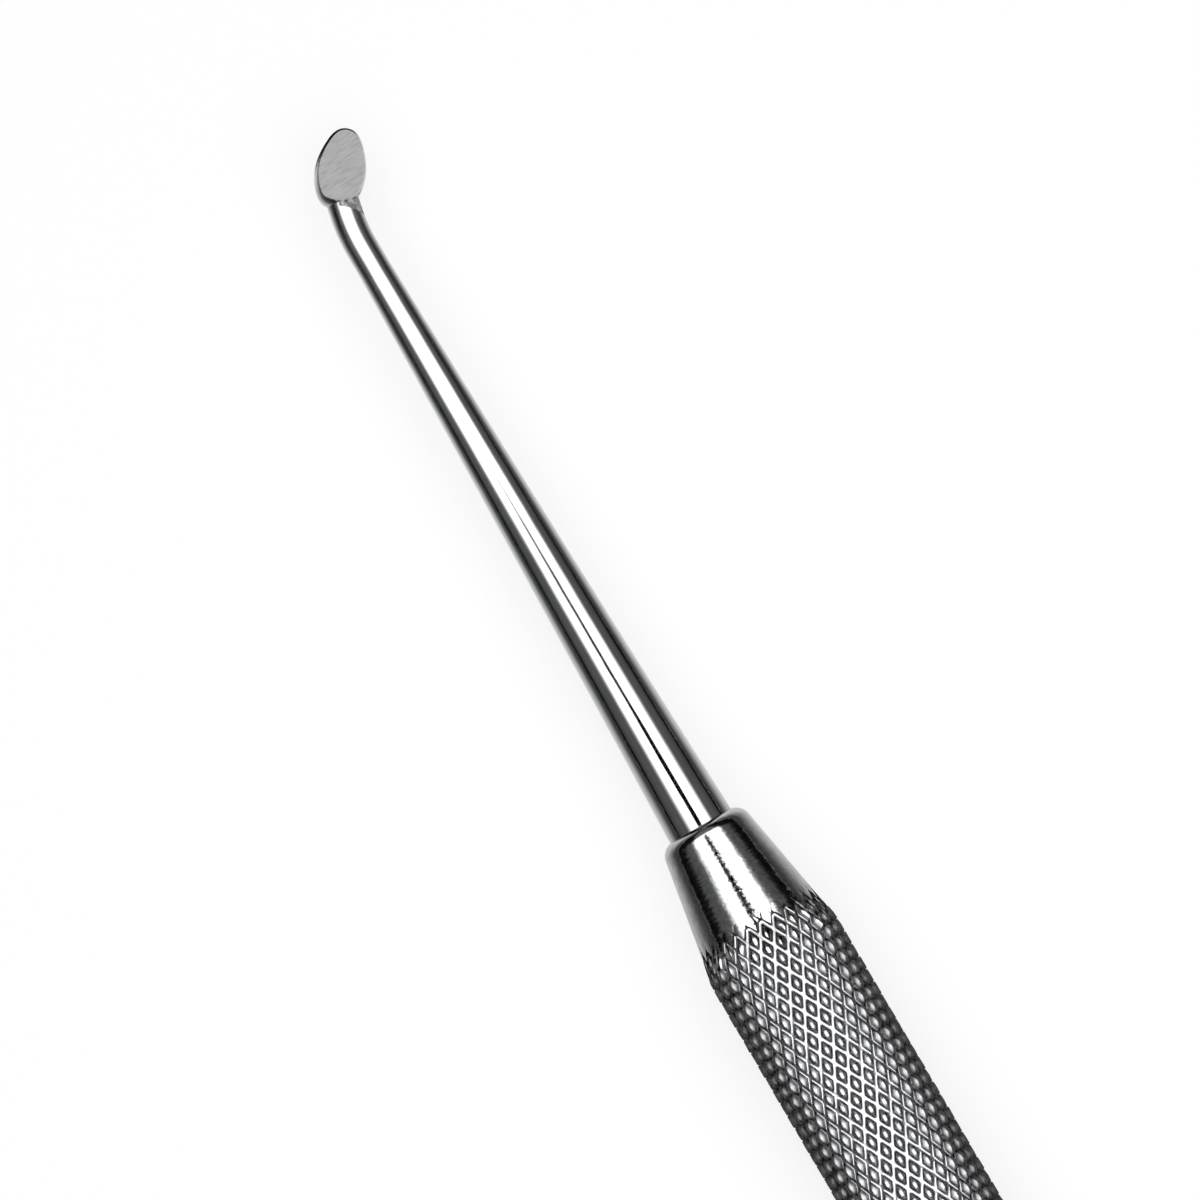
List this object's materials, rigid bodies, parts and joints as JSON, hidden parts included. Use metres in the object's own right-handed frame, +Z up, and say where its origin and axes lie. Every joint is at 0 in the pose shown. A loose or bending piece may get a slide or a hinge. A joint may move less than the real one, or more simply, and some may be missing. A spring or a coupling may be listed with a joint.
{
  "type": "wax carver",
  "caption": "Single-ended wax carver: round diamond-knurled steel handle with a turned nose, slim tapered shank and a small egg-shaped blade with a flat ground face, set to one side.",
  "frame": {"origin": "on the table, under the middle of the tool as it lies on its handle", "axes": "+X along the handle's axis towards the blade, +Z up, with the blade's flat face looking up and the blade leaning towards -Y"},
  "size_m": [0.15, 0.008, 0.008],
  "materials": {
    "knurled_steel": "stainless steel bar, diamond knurled, with a polished turned nose and a plain turned butt",
    "polished_steel": "mirror-polished stainless steel, with a satin ground face on the blade"
  },
  "bodies": {
    "root": {"handle": "knurled_steel", "working_tip": "polished_steel"}
  },
  "joints": []
}
